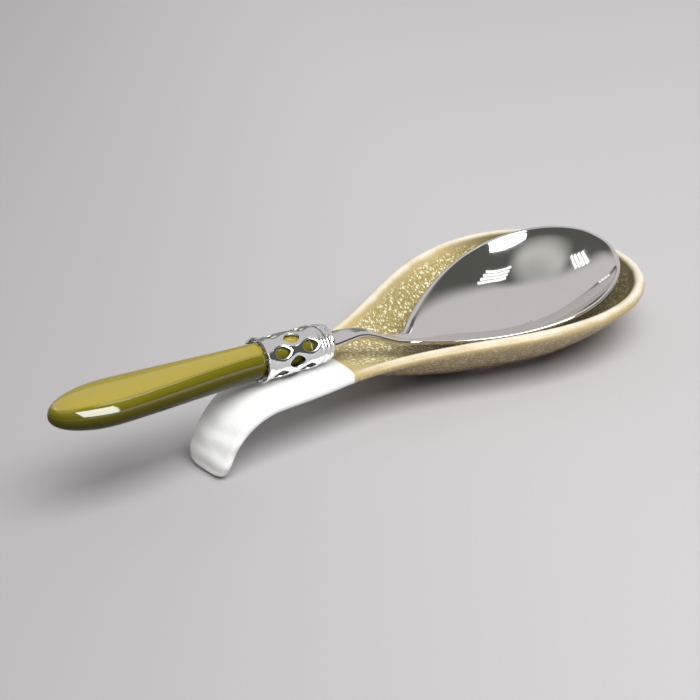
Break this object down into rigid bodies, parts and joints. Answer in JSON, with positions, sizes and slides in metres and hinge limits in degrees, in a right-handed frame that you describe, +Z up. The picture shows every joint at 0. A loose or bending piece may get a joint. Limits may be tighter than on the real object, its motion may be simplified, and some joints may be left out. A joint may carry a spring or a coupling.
{
  "type": "spoon rest",
  "caption": "Spoon-shaped glazed stoneware rest with a curled foot handle, holding a steel serving spoon with a pierced ferrule and a flat oval grip.",
  "frame": {"origin": "middle of the dish's flat base, on the table, under the widest line of the dish", "axes": "+X from the handle towards the tip of the dish, +Y towards the far side, +Z up"},
  "size_m": [0.2637, 0.091, 0.0452],
  "materials": {
    "stoneware": "speckled olive glaze, white glaze on the handle",
    "steel": "mirror-polished stainless",
    "plating": "bright chrome plating",
    "acrylic": "glossy olive acrylic",
    "resin": "cured bonding resin"
  },
  "bodies": {
    "rest": {"rest_dish": "stoneware"},
    "spoon": {"spoon_head": "steel", "neck_collar": "plating", "pierced_ferrule": "plating", "handle_grip": "acrylic", "tang_resin": "resin"}
  },
  "joints": [
    {"name": "spoon_lift", "type": "slide", "parent": "rest", "child": "spoon", "axis": [0, 0, 1], "range_m": [0, 0.1]}
  ]
}
